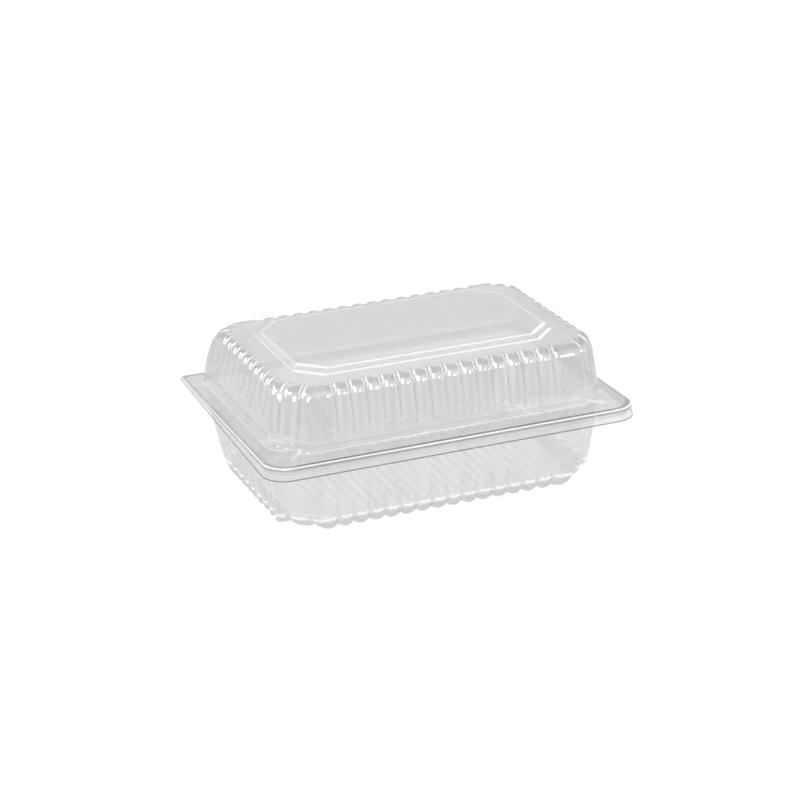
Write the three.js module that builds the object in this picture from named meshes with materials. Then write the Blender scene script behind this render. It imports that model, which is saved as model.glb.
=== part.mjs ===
// A hinged takeaway meal container, formed from one sheet of clear plastic.
// The tray and the lid meet along the back edge. The lid is shut.
// Millimetres, +Z up, -Y is the front, X runs along the hinge. The tray stands on z = 0.
import * as THREE from 'three';

// Driving dimensions of the sheet and the rim
const SHEET = 0.35;
const GAP = 0.3;
const RIM_HEIGHT = 43;
const RIM_HALF_LENGTH = 95.4;
const RIM_FRONT = 71.15;
const RIM_BACK = 71.65;
const RIM_FRONT_CORNER = 12;
const RIM_BACK_CORNER = 1.6;
const RIM_BEND = 1.2;

// The skirt hangs from the rim, deep at the front and running out at the hinge
const SKIRT_DEPTH = 6.5;
const SKIRT_FLARE = 0.5;
const TRAY_LIP_DEPTH = 3;
const TRAY_LIP_INSET = 1.5;
const TRAY_DRAFT = 0.2;
const SKIRT_START = 70.4;
const SKIRT_RUN = 126;
const SKIRT_BEND_SHARE = 0.85;
const SKIRT_BACK_SHARE = 0.2;
const EDGE_BEND = 0.5;
const EDGE_DROP = 0.7;

// The steps across a corner of the rim, of a plain wall and of the lid's panel
const RIM_CORNER_STEPS = 5;
const WALL_CORNER_STEPS = 2;
const PANEL_CORNER_STEPS = 1;

// The lid above the rim
const WALL_FOOT_HALF = 86.7;
const WALL_FOOT_FRONT = 58.25;
const WALL_FOOT_BACK = 60.5;
const FOOT_RISE = 1.3;
const FOOT_REACH = 0.7;
const LID_ROUND = 0.45;
const TRAY_ROUND = 0.05;
const FOOT_ROUND = 0.3;
const FOOT_CUT = 15.4;
const FOOT_BACK_CUT = 3;
const LID_RING_HEIGHT = 31.05;
const LID_PANEL_STEP = 2.75;
const LID_PANEL_HALF = 66.1;
const LID_PANEL_DEPTH = 38.9;
const LID_PANEL_CUT = 12.2;
const LID_PANEL_SLOPE = 1.15;

// The ridge that runs across each front corner of the lid's rim
const RIDGE_HEIGHT = 1.6;
const RIDGE_CENTRE = 17.6;
const RIDGE_HALF_FOOT = 4.5;
const RIDGE_HALF_TOP = 2.9;
const RIDGE_OUTER_FOOT = 5.4;
const RIDGE_OUTER_TOP = 3.4;
const RIDGE_CUT = 11.5;

// The flutes
const LONG_PITCH = 8.06;
const LONG_GROOVES = 15;
const LID_SIDE_PITCH = 8.1;
const LID_SIDE_GROOVES = 9;
const TRAY_SIDE_PITCH = 9.3;
const TRAY_SIDE_GROOVES = 8;
const STEPS_PER_FLUTE = 4;
const CORNER_GROOVE_PLACES = [0.257, 0.743];
const CORNER_GROOVE_HALF = 0.125;
const CORNER_GROOVE_FLANK = 0.2;

// The outlines of the two walls from the rim to the far end: half the length, the distances to the
// front and the back, the sizes of the corners, the height over the rim, and the depths of the
// flutes into the wall and along Z
const LID_WALL = [
  { half: 85.9, front: 57.6, back: 59.8, cutFront: 15, cutBack: 3.4, level: 9 },
  { half: 85.1, front: 57.1, back: 59, cutFront: 14.8, cutBack: 4.4, level: 15, inward: 0.45 },
  { half: 83.8, front: 56.2, back: 57.2, cutFront: 14.4, cutBack: 8, level: 24.2, inward: 1.7, sink: -0.3 },
  { half: 82.2, front: 54.9, back: 55.6, cutFront: 14, cutBack: 9.6, level: 28.3, inward: 1.5, sink: -1.1 },
  { half: 80.3, front: 53.2, back: 53.6, cutFront: 14, cutBack: 11, level: 30.5, inward: 0.8, sink: -1.5 },
  { half: 78, front: 51.2, back: 51.3, cutFront: 13.2, cutBack: 11.6, level: 31.05, sink: -0.7 },
  { half: 76, front: 49.4, back: 49.4, cutFront: 12.8, cutBack: 12, level: 31.05 },
];
const TRAY_WALL = [
  { half: 85.7, front: 57.2, back: 59.4, cutFront: 15, cutBack: 3.6, level: -9 },
  { half: 85, front: 56.6, back: 58.6, cutFront: 14.8, cutBack: 4.6, level: -16, inward: 0.4 },
  { half: 83.5, front: 55, back: 55.8, cutFront: 15.2, cutBack: 9, level: -31, inward: 1.6, sink: 0.2 },
  { half: 82.7, front: 54.2, back: 54.4, cutFront: 16.8, cutBack: 14.4, level: -38.6, inward: 1.9, sink: 0.5 },
  { half: 81.7, front: 53.1, back: 53.2, cutFront: 18.6, cutBack: 18.6, level: -41.8, inward: 1.7, sink: 1.1 },
  { half: 79.7, front: 51, back: 51, cutFront: 19, cutBack: 19, level: -43, inward: 0.6, sink: 1.3 },
  { half: 73.2, front: 45.2, back: 45.2, cutFront: 14.8, cutBack: 14.8, level: -43 },
];

// The tray's bottom panel and its ribs
const PANEL_RISE = 1.5;
const PANEL_HALF = 72.2;
const PANEL_DEPTH = 44.2;
const PANEL_CUT = 16.4;
const RIB_PITCH = 5.37;
const RIB_COUNT = 23;
const RIB_HEIGHT = 0.8;
const RIB_FLANK = 0.8;
const RIB_FIELD_DEPTH = 38;
const RIB_END = 1.8;

// Corners are named for where they lie, and follow each other anticlockwise seen from above
const SIDES = ['front', 'frontRight', 'right', 'backRight', 'back', 'backLeft', 'left', 'frontLeft'];
const STRAIGHT_SIDES = ['front', 'right', 'back', 'left'];
const SIDE_REACH = 100;
const SAME_PLACE = 0.001;
const CORNER_MARGIN = 0.4;

// An outline is a rectangle with its four corners cut off. half is half its length, front and back
// are its distances from the middle, the cuts are the sizes of the corners, and round runs from 0
// for a straight cut to 1 for a quarter circle.
function outline(half, front, back, cutFront, cutBack, round) {
  return { half, front, back, cutFront, cutBack, round };
}

// How far a straight side runs from its middle to a corner
function straightEnd(side, towardsFront, shape) {
  if (side === 'front') return shape.half - shape.cutFront;
  if (side === 'back') return shape.half - shape.cutBack;
  return towardsFront ? shape.front - shape.cutFront : shape.back - shape.cutBack;
}

// The stations of a side keep their places, and draw together where its straight part is short
function straightPoint({ side, along, reach }, shape) {
  const room = straightEnd(side, along < 0, shape) - CORNER_MARGIN;
  const place = along * Math.min(1, room / reach);
  if (side === 'front') return { x: place, y: -shape.front, nx: 0, ny: -1 };
  if (side === 'back') return { x: place, y: shape.back, nx: 0, ny: 1 };
  if (side === 'right') return { x: shape.half, y: place, nx: 1, ny: 0 };
  return { x: -shape.half, y: place, nx: -1, ny: 0 };
}

// The middle of a corner lies at this distance from the diagonal through the frame's middle
function cornerFacts(side, shape) {
  const atFront = side.startsWith('front');
  const depth = atFront ? shape.front : shape.back;
  return {
    signX: side.endsWith('Right') ? 1 : -1,
    signY: atFront ? -1 : 1,
    depth,
    cut: atFront ? shape.cutFront : shape.cutBack,
    middle: (shape.half - depth) / Math.SQRT2,
  };
}

// share is 0 where the corner meets the long side and 1 where it meets the short side
function cornerPoint(side, share, shape) {
  const { signX, signY, depth, cut } = cornerFacts(side, shape);
  const turn = Math.PI / 4 + Math.asin((2 * share - 1) / Math.SQRT2);
  const acrossX = THREE.MathUtils.lerp(share, Math.sin(turn), shape.round);
  const acrossY = THREE.MathUtils.lerp(1 - share, Math.cos(turn), shape.round);
  return {
    x: signX * (shape.half - cut + cut * acrossX),
    y: signY * (depth - cut + cut * acrossY),
    nx: signX * Math.SQRT1_2,
    ny: signY * Math.SQRT1_2,
  };
}

// A station is one place on every outline of a shell: along a straight side, or on a corner at a
// share of it or, for a ridge, at a fixed distance across the diagonal.
function stationShare(station, shape) {
  if (station.across === undefined) return station.share;
  const { cut, middle } = cornerFacts(station.side, shape);
  return 0.5 + (station.across - middle) / (cut * Math.SQRT2);
}

function stationPoint(station, shape) {
  if (STRAIGHT_SIDES.includes(station.side)) return straightPoint(station, shape);
  return cornerPoint(station.side, stationShare(station, shape), shape);
}

// Runs from 0 to 8 round the outline, from the left end of the front side
function stationOrder(station, shape) {
  const start = SIDES.indexOf(station.side);
  if (STRAIGHT_SIDES.includes(station.side)) {
    const forwards = station.side === 'front' || station.side === 'right';
    return start + 0.5 + (forwards ? 0.5 : -0.5) * station.along / SIDE_REACH;
  }
  const forwards = station.side === 'frontRight' || station.side === 'backLeft';
  const share = stationShare(station, shape);
  return start + (forwards ? share : 1 - share);
}

// groove is 1 in the bottom of a flute and 0 on the crest of the bulge between two flutes
function straightFlutes(side, grooves, pitch) {
  const stations = [];
  const reach = pitch * grooves / 2;
  for (let step = 0; step <= STEPS_PER_FLUTE * grooves; step += 1) {
    const share = step % STEPS_PER_FLUTE / STEPS_PER_FLUTE;
    const phase = 1 - Math.abs(2 * share - 1);
    const along = step * pitch / STEPS_PER_FLUTE - reach;
    stations.push({ side, along, reach, groove: phase * phase });
  }
  return stations;
}

function cornerFlutes(side) {
  const stations = [
    { side, share: 0, groove: 0 },
    { side, share: 0.5, groove: 0 },
    { side, share: 1, groove: 0 },
  ];
  for (const place of CORNER_GROOVE_PLACES) {
    stations.push({ side, share: place, groove: 1 });
    stations.push({ side, share: place - CORNER_GROOVE_HALF, groove: CORNER_GROOVE_FLANK });
    stations.push({ side, share: place + CORNER_GROOVE_HALF, groove: CORNER_GROOVE_FLANK });
  }
  return stations;
}

function flutedStations(sideGrooves, sidePitch) {
  return SIDES.flatMap((side) => {
    if (!STRAIGHT_SIDES.includes(side)) return cornerFlutes(side);
    if (side === 'left' || side === 'right') return straightFlutes(side, sideGrooves, sidePitch);
    return straightFlutes(side, LONG_GROOVES, LONG_PITCH);
  });
}

// Only the grooves' own stations and the corners' ends, for a ring where the grooves run out
function tipStations(fluted) {
  return fluted.filter(({ groove, share }) => groove === 1 || share === 0 || share === 1);
}

function plainStations(cornerSteps) {
  const corners = SIDES.filter((side) => !STRAIGHT_SIDES.includes(side));
  return corners.flatMap((side) => {
    const shares = Array.from({ length: cornerSteps + 1 }, (_, step) => step / cornerSteps);
    return shares.map((share) => ({ side, share, groove: 0 }));
  });
}

// The plain stations of the rim with those of the two front ridges between them
function ridgedStations(cornerSteps) {
  const stations = plainStations(cornerSteps).filter(
    ({ side, share }) => side.startsWith('back') || share === 0 || share === 1,
  );
  for (const side of ['frontRight', 'frontLeft']) {
    for (const half of [RIDGE_HALF_FOOT, RIDGE_HALF_TOP]) {
      const ridge = half === RIDGE_HALF_TOP ? 1 : 0;
      stations.push({ side, across: RIDGE_CENTRE - half, groove: 0, ridge });
      stations.push({ side, across: RIDGE_CENTRE + half, groove: 0, ridge });
    }
  }
  return stations;
}

// 1 at the front corners, falling towards the back, and 0 along the hinge
function skirtShare(y) {
  const run = THREE.MathUtils.clamp((SKIRT_START - y) / SKIRT_RUN, 0, 1) ** SKIRT_BEND_SHARE;
  const atHinge = THREE.MathUtils.clamp((RIM_BACK - y) / RIM_BACK_CORNER, 0, 1);
  return atHinge * THREE.MathUtils.lerp(SKIRT_BACK_SHARE, 1, run);
}

// One ring of a shell. level is its height over the rim, inward and sink are the depth of the
// flutes into the wall and along Z, and lift raises the stations of the ridges.
function ring(stations, shape, { level = 0, inward = 0, sink = 0, lift = 0 }) {
  const sorted = stations
    .map((station) => ({ station, order: stationOrder(station, shape) % SIDES.length }))
    .sort((one, two) => one.order - two.order);
  const points = sorted.map(({ station }) => {
    const { x, y, nx, ny } = stationPoint(station, shape);
    const depth = inward * station.groove;
    const z = RIM_HEIGHT + level + sink * station.groove + lift * (station.ridge ?? 0);
    return new THREE.Vector3(x - nx * depth, y - ny * depth, z);
  });
  return { points, orders: sorted.map(({ order }) => order) };
}

// The rim's outer rings hang lower towards the front. reach is how far outside the rim's outline
// the ring lies where the skirt is full. It is restSide at the ends of the hinge, where the skirt
// has run out, and restBack along the hinge.
function skirtRing({ reach, restSide, restBack, drop, level }) {
  const shape = outline(RIM_HALF_LENGTH, RIM_FRONT, RIM_BACK, RIM_FRONT_CORNER, RIM_BACK_CORNER, 1);
  const result = ring(rimStations, shape, { level });
  for (const point of result.points) {
    const share = skirtShare(point.y);
    point.x *= 1 + THREE.MathUtils.lerp(restSide, reach, share) / RIM_HALF_LENGTH;
    point.y *= 1 + THREE.MathUtils.lerp(restBack, reach, share) / RIM_FRONT;
    point.z -= drop * share;
  }
  return result;
}

// Whether the next triangle between two rings takes the outer ring's next point. Points that stand
// at the same place on both rings are joined, and between them the shorter edge is drawn. Round a
// flat field the points are only taken in order.
function takesOuter(outer, inner, i, j) {
  const nextOuter = outer.orders[i + 1] ?? SIDES.length;
  const nextInner = inner.orders[j + 1] ?? SIDES.length;
  if (i === outer.points.length) return false;
  if (j === inner.points.length) return true;
  if (inner.flatField) return nextOuter < nextInner;
  const samePlace = Math.abs(nextOuter - nextInner) < SAME_PLACE;
  const paired = Math.abs(outer.orders[i] - inner.orders[j]) < SAME_PLACE;
  if (samePlace || outer.points.length === inner.points.length) return paired || nextOuter < nextInner;
  const after = (ringPoints, index) => ringPoints[(index + 1) % ringPoints.length];
  const toInner = after(outer.points, i).distanceTo(inner.points[j % inner.points.length]);
  const toOuter = after(inner.points, j).distanceTo(outer.points[i % outer.points.length]);
  return toInner <= toOuter;
}

// Triangles between two rings, which may have different numbers of points
function bridge(triangles, outer, inner, outerStart, innerStart) {
  const outerCount = outer.points.length;
  const innerCount = inner.points.length;
  let i = 0;
  let j = 0;
  while (i < outerCount || j < innerCount) {
    const a = outerStart + i % outerCount;
    const b = innerStart + j % innerCount;
    if (takesOuter(outer, inner, i, j)) {
      triangles.push([a, outerStart + (i + 1) % outerCount, b]);
      i += 1;
    } else {
      triangles.push([a, innerStart + (j + 1) % innerCount, b]);
      j += 1;
    }
  }
}

function skin(rings) {
  const points = [];
  const triangles = [];
  let previousStart = 0;
  rings.forEach((current, index) => {
    const start = points.length;
    points.push(...current.points);
    if (index > 0) bridge(triangles, rings[index - 1], current, previousStart, start);
    previousStart = start;
  });
  return { points, triangles, last: previousStart };
}

function closeFlat({ points, triangles, last }) {
  const edge = points.slice(last).map((point) => new THREE.Vector2(point.x, point.y));
  for (const face of THREE.ShapeUtils.triangulateShape(edge, [])) {
    triangles.push(face.map((corner) => corner + last));
  }
}

function pointNormals(points, triangles) {
  const normals = points.map(() => new THREE.Vector3());
  const face = new THREE.Triangle();
  const normal = new THREE.Vector3();
  for (const corners of triangles) {
    face.set(...corners.map((corner) => points[corner]));
    face.getNormal(normal);
    corners.forEach((corner, place) => {
      const next = points[corners[(place + 1) % 3]].clone().sub(points[corner]);
      const other = points[corners[(place + 2) % 3]].clone().sub(points[corner]);
      normals[corner].addScaledVector(normal, next.angleTo(other));
    });
  }
  return normals.map((sum) => sum.normalize());
}

// Gives a skin the thickness of the sheet, on the side that its faces turn away from. rimCount is
// the number of points on its trimmed edge, which are the skin's first ones.
function sheetGeometry({ points, triangles }, rimCount, facesUp) {
  const turned = facesUp ? triangles : triangles.map(([a, b, c]) => [a, c, b]);
  const normals = pointNormals(points, turned);
  const count = points.length;
  const inside = points.map((point, index) => point.clone().addScaledVector(normals[index], -SHEET));
  const positions = [...points, ...inside].flatMap((point) => point.toArray());
  const faces = [...turned, ...turned.map(([a, b, c]) => [a + count, c + count, b + count])];
  for (let index = 0; index < rimCount; index += 1) {
    const next = (index + 1) % rimCount;
    const edge = facesUp ? [next, index] : [index, next];
    faces.push([edge[0], edge[1], edge[1] + count]);
    faces.push([edge[0], edge[1] + count, edge[0] + count]);
  }
  const geometry = new THREE.BufferGeometry();
  geometry.setAttribute('position', new THREE.Float32BufferAttribute(positions, 3));
  geometry.setIndex(faces.flat());
  geometry.computeVertexNormals();
  return geometry;
}

const rimStations = plainStations(RIM_CORNER_STEPS);
const wallStations = plainStations(WALL_CORNER_STEPS);
const panelStations = plainStations(PANEL_CORNER_STEPS);

// The rings of a wall. The first and last have only the grooves' own stations.
function wallRings(wall, fluted, round) {
  const tips = tipStations(fluted);
  return wall.map((row, index) => {
    const shape = outline(row.half, row.front, row.back, row.cutFront, row.cutBack, round);
    return ring(index === 0 || index === wall.length - 1 ? tips : fluted, shape, row);
  });
}

// The outline of the walls' foot, grown by a distance
function footOutline(grown, cutFront) {
  const half = WALL_FOOT_HALF + grown;
  const front = WALL_FOOT_FRONT + grown;
  const back = WALL_FOOT_BACK + grown;
  return outline(half, front, back, cutFront, FOOT_BACK_CUT, FOOT_ROUND);
}

function panelRing(grown, level) {
  const [half, depth] = [LID_PANEL_HALF + grown, LID_PANEL_DEPTH + grown];
  return ring(panelStations, outline(half, depth, depth, LID_PANEL_CUT, LID_PANEL_CUT, 0), { level });
}

function lidGeometry() {
  const ridged = ridgedStations(WALL_CORNER_STEPS);
  const bend = -RIM_BEND;
  const rings = [
    skirtRing({ reach: SKIRT_FLARE, restSide: 0, restBack: 0, drop: SKIRT_DEPTH, level: 0 }),
    skirtRing({ reach: 0, restSide: -EDGE_BEND, restBack: -EDGE_BEND, drop: EDGE_DROP, level: 0 }),
    skirtRing({ reach: bend, restSide: bend, restBack: bend, drop: 0, level: 0 }),
    ring(ridged, footOutline(RIDGE_OUTER_FOOT, RIDGE_CUT), {}),
    ring(ridged, footOutline(RIDGE_OUTER_TOP, RIDGE_CUT), { lift: RIDGE_HEIGHT }),
    ring(ridged, footOutline(FOOT_REACH, FOOT_CUT), { lift: RIDGE_HEIGHT }),
    ring(ridged, footOutline(0, FOOT_CUT), { level: FOOT_RISE, lift: RIDGE_HEIGHT }),
    ...wallRings(LID_WALL, flutedStations(LID_SIDE_GROOVES, LID_SIDE_PITCH), LID_ROUND),
    panelRing(LID_PANEL_SLOPE, LID_RING_HEIGHT),
    panelRing(0, LID_RING_HEIGHT + LID_PANEL_STEP),
  ];
  const lid = skin(rings);
  closeFlat(lid);
  return sheetGeometry(lid, rings[0].points.length, true);
}

// The places and heights of the ribs across the tray's bottom, from left to right
function ribStops() {
  const stops = [];
  const first = -RIB_PITCH * (RIB_COUNT - 1) / 2;
  const quarter = RIB_PITCH / 4;
  for (let index = 0; index < RIB_COUNT; index += 1) {
    const centre = first + index * RIB_PITCH;
    stops.push({ x: centre - quarter - RIB_FLANK / 2, height: 0 });
    stops.push({ x: centre - quarter + RIB_FLANK / 2, height: RIB_HEIGHT });
    stops.push({ x: centre + quarter - RIB_FLANK / 2, height: RIB_HEIGHT });
    stops.push({ x: centre + quarter + RIB_FLANK / 2, height: 0 });
  }
  return stops;
}

// The ribbed field inside the last ring: rows of points from front to back, with the ribs' height
// on the inner two rows, and its border as a ring that the last ring is bridged to
function addRibField(tray, lastRing, level) {
  const stops = ribStops();
  const rows = [-RIB_FIELD_DEPTH, RIB_END - RIB_FIELD_DEPTH, RIB_FIELD_DEPTH - RIB_END, RIB_FIELD_DEPTH];
  const start = tray.points.length;
  rows.forEach((y, row) => {
    const raised = row === 1 || row === 2 ? 1 : 0;
    stops.forEach(({ x, height }) => {
      tray.points.push(new THREE.Vector3(x, y, RIM_HEIGHT + level + height * raised));
    });
  });
  const at = (row, column) => start + row * stops.length + column;
  for (let row = 0; row + 1 < rows.length; row += 1) {
    for (let column = 0; column + 1 < stops.length; column += 1) {
      tray.triangles.push([at(row, column), at(row, column + 1), at(row + 1, column + 1)]);
      tray.triangles.push([at(row, column), at(row + 1, column + 1), at(row + 1, column)]);
    }
  }
  const border = [];
  stops.forEach(({ x }, column) => {
    border.push({ index: at(0, column), order: 0.5 + x / (2 * SIDE_REACH) });
  });
  rows.forEach((y, row) => {
    border.push({ index: at(row, stops.length - 1), order: 2.5 + y / (2 * SIDE_REACH) });
    border.push({ index: at(row, 0), order: 6.5 - y / (2 * SIDE_REACH) });
  });
  stops.forEach(({ x }, column) => {
    border.push({ index: at(rows.length - 1, column), order: 4.5 - x / (2 * SIDE_REACH) });
  });
  const seen = new Set();
  const loop = border
    .sort((one, two) => one.order - two.order)
    .filter(({ index }) => !seen.has(index) && seen.add(index));
  const inner = {
    points: loop.map(({ index }) => tray.points[index]),
    orders: loop.map(({ order }) => order),
    flatField: true,
  };
  const between = [];
  const innerStart = tray.points.length;
  bridge(between, lastRing, inner, tray.last, innerStart);
  const pointOf = (corner) => (corner < innerStart ? corner : loop[corner - innerStart].index);
  for (const face of between) tray.triangles.push(face.map(pointOf));
}

function trayGeometry() {
  const under = -2 * SHEET - GAP;
  const inset = -TRAY_LIP_INSET;
  const panelLevel = PANEL_RISE - RIM_HEIGHT;
  const edge = inset - EDGE_BEND;
  const top = inset - RIM_BEND;
  const panel = outline(PANEL_HALF, PANEL_DEPTH, PANEL_DEPTH, PANEL_CUT, PANEL_CUT, TRAY_ROUND);
  const rings = [
    skirtRing({ reach: inset, restSide: inset, restBack: 0, drop: TRAY_LIP_DEPTH, level: under }),
    skirtRing({ reach: inset, restSide: edge, restBack: -EDGE_BEND, drop: EDGE_DROP, level: under }),
    skirtRing({ reach: top, restSide: top, restBack: -RIM_BEND, drop: 0, level: under }),
    ring(wallStations, footOutline(FOOT_REACH, FOOT_CUT), { level: under }),
    ring(wallStations, footOutline(-TRAY_DRAFT, FOOT_CUT), { level: under - FOOT_RISE }),
    ...wallRings(TRAY_WALL, flutedStations(TRAY_SIDE_GROOVES, TRAY_SIDE_PITCH), TRAY_ROUND),
    ring(wallStations, panel, { level: panelLevel }),
  ];
  const tray = skin(rings);
  addRibField(tray, rings[rings.length - 1], panelLevel);
  return sheetGeometry(tray, rings[0].points.length, false);
}

function clearPlastic() {
  return new THREE.MeshStandardMaterial({
    color: 0xdfe3e4,
    roughness: 0.08,
    metalness: 0,
    transparent: true,
    opacity: 0.4,
  });
}

function piece(name, geometry) {
  const mesh = new THREE.Mesh(geometry, clearPlastic());
  mesh.name = name;
  return mesh;
}

const group = new THREE.Group();
group.add(piece('tray', trayGeometry()));
group.add(piece('lid', lidGeometry()));

export default group;
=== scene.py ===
import math

import bmesh
import bpy
from bpy.props import FloatProperty, FloatVectorProperty, PointerProperty
from bpy.types import Operator, Panel, PropertyGroup
from mathutils import Euler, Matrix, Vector
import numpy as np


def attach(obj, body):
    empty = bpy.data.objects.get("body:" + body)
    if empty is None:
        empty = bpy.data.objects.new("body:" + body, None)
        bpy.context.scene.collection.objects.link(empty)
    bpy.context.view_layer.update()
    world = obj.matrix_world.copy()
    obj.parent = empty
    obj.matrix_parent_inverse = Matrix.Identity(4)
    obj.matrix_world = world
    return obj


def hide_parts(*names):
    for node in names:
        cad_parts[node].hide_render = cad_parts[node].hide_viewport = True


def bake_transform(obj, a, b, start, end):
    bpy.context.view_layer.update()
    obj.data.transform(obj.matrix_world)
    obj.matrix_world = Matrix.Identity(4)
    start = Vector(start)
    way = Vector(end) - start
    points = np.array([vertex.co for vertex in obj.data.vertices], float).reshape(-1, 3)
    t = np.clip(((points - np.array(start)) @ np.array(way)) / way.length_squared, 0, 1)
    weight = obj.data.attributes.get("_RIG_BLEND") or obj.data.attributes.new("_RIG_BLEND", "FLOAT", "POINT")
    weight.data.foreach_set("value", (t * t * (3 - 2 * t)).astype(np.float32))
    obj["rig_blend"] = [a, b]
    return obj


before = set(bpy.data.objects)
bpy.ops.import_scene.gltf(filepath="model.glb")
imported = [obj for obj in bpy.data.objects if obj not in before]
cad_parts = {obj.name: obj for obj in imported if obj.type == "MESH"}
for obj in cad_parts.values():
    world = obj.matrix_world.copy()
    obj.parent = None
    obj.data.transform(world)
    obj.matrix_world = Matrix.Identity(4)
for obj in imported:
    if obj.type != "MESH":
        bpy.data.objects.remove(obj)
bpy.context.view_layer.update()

bl_info = {
    "name": "Clear Meal Container",
    "version": (1, 0, 0),
    "blender": (4, 5, 0),
    "location": "View3D > Sidebar > Container",
    "description": "A clear fluted tray with a hinged lid, formed from one sheet",
    "category": "Mesh",
}

# All sizes below are in millimetres unless a comment says otherwise. Heights are over the rim, but
# those of the rim itself and of the fold at the back are over the table.
MM = 0.001
RIM_HEIGHT = 43.0
SHEET = 0.35
RIM_GAP = 0.3

# The rim, its fold and the skirt below it. An outline gives half the length, the distances to the
# front and the back, the size of its corners and how round they are.
RIM = {
    "half": 95.4, "front": 71.15, "back": 71.5,
    "cut_front": 12.0, "cut_back": 1.6, "round": 1.0,
}
FOLD_RADIUS = 1.0
FOLD_STEPS = 5
SKIRT_STEPS = 4
TRIM_SHARE = 0.06
SKIRT_DEPTH = 6.5
SKIRT_FLARE = 0.5
SKIRT_START = 70.4
SKIRT_RUN = 126.0
SKIRT_BEND = 0.85
SKIRT_BACK_SHARE = 0.2
LIP_DEPTH = 3.0
LIP_INSET = 1.5
INNER_RIM_ROWS = (1.4, 2.0, 2.6)
LIP_RIM_REACH = 4.0

# The foot of the two walls. The lid's rows above it have a distance outside the outline, a level
# and a share of the ridges' height.
FOOT = {
    "half": 86.7, "front": 58.25, "back": 60.5,
    "cut_front": 15.4, "cut_back": 3.0, "round": 0.3,
}
FOOT_STEPS = 4
LID_FOOT_RADIUS = 0.4
LID_FOOT_ROWS = ((-0.01, 0.6, 0.8), (-0.15, 3.6, 0.0))
TRAY_FOOT_RISE = 1.3
TRAY_FOOT_REACH = 0.7
TRAY_FOOT_INSET = 0.2

# The panel on the lid, and the rows round its step, each with a distance outside the outline of
# the step's foot or of the panel, and a height over the ring round it
PANEL = {
    "half": 66.1, "front": 38.9, "back": 38.9,
    "cut_front": 12.2, "cut_back": 12.2, "round": 0.0,
}
PANEL_SLOPE = 1.15
RING_LEVEL = 31.05
PANEL_RISE = 33.8 - RING_LEVEL
EDGE_RADIUS = 0.35
PANEL_FOOT_ROWS = (
    (EDGE_RADIUS + 0.75, 0.0),
    (EDGE_RADIUS + 0.5, 0.0),
    (EDGE_RADIUS, 0.0),
    (0.0, 0.04),
    (-0.1, EDGE_RADIUS * 0.6),
    (-0.16, EDGE_RADIUS),
)
PANEL_TOP_ROWS = (
    (0.18, PANEL_RISE - EDGE_RADIUS),
    (0.12, PANEL_RISE - EDGE_RADIUS * 0.6),
    (-0.08, PANEL_RISE - 0.04),
    (-EDGE_RADIUS, PANEL_RISE),
    (-EDGE_RADIUS - 0.9, PANEL_RISE),
    (-EDGE_RADIUS - 1.2, PANEL_RISE),
)

# The ridge across each front corner of the lid's rim. Its rows have a distance outside the wall's
# foot and a share of its height.
RIDGE_ROWS = ((6.6, 0.0), (5.4, 0.0), (4.4, 0.7), (3.4, 1.0), (2.0, 1.0))
RIDGE_FRONT = 5.4
RIDGE_CUT = 11.5
RIDGE_HEIGHT = 1.6
RIDGE_CENTRE = 17.6
RIDGE_HALF_FOOT = 4.5
RIDGE_HALF_TOP = 2.9

# The outlines of the two walls from the rim to the far end, with their heights, and the flutes'
# depths inward and along Z. The steps are the rows from each outline to the next.
WALL_KEYS = ("half", "front", "back", "cut_front", "cut_back", "level", "inward", "sink")
LID_WALL = (
    (85.9, 57.6, 59.8, 15.0, 3.4, 9.0, 0.0, 0.0),
    (85.1, 57.1, 59.0, 14.8, 4.4, 15.0, 0.45, 0.0),
    (83.8, 56.2, 57.2, 14.4, 8.0, 24.2, 1.7, -0.3),
    (82.2, 54.9, 55.6, 14.0, 9.6, 28.3, 1.5, -1.1),
    (80.3, 53.2, 53.6, 14.0, 11.0, 30.5, 0.8, -1.5),
    (78.0, 51.2, 51.3, 13.2, 11.6, 31.05, 0.0, -0.7),
    (76.0, 49.4, 49.4, 12.8, 12.0, 31.05, 0.0, 0.0),
)
TRAY_WALL = (
    (85.7, 57.2, 59.4, 15.0, 3.6, -9.0, 0.0, 0.0),
    (85.0, 56.6, 58.6, 14.8, 4.6, -16.0, 0.4, 0.0),
    (83.5, 55.0, 55.8, 15.2, 9.0, -31.0, 1.6, 0.2),
    (82.7, 54.2, 54.4, 16.8, 14.4, -38.6, 1.9, 0.5),
    (81.7, 53.1, 53.2, 18.6, 18.6, -41.8, 1.7, 1.1),
    (79.7, 51.0, 51.0, 19.0, 19.0, -43.0, 0.6, 1.3),
    (73.2, 45.2, 45.2, 14.8, 14.8, -43.0, 0.0, 0.0),
)
LID_STEPS = (3, 5, 4, 4, 3, 2)
TRAY_STEPS = (3, 5, 4, 4, 4, 2)
LID_ROUND = 0.45
TRAY_ROUND = 0.05

# The flutes
LONG_PITCH = 8.06
LONG_GROOVES = 15
LID_SIDE_PITCH = 8.1
LID_SIDE_GROOVES = 9
TRAY_SIDE_PITCH = 9.3
TRAY_SIDE_GROOVES = 8
CORNER_GROOVES = (0.257, 0.743)
CORNER_HALF_BULGE = 0.235
STEPS_PER_FLUTE = 10
PLAIN_STEPS = 5
CORNER_STEPS = 30
CORNER_MARGIN = 0.4
GROOVE_SHARPNESS = 2.0
UPPER_GROOVE_SHARPNESS = 2.7

# The hoods of painted shade over the lid's flutes, counted in rows of its wall. Their tops are
# shares of those rows: in the middle of a flute, at its left and its right as seen at the front, and
# by the groove. The places on a flute run from 0 in its middle to 1 in the groove.
HOOD_START = 11
HOOD_ROWS = 10
HOOD_TOP_MIDDLE = 0.62
HOOD_TOP_LEFT = 0.9
HOOD_TOP_RIGHT = 0.4
HOOD_TOP_GROOVE = 0.98
HOOD_SOFTNESS = 0.06
HOOD_GROOVE_PLACE = 0.7
# Between these two places the grooves get painted highlight lines
LINE_PLACE = 0.75
LINE_END_PLACE = 0.92

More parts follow.
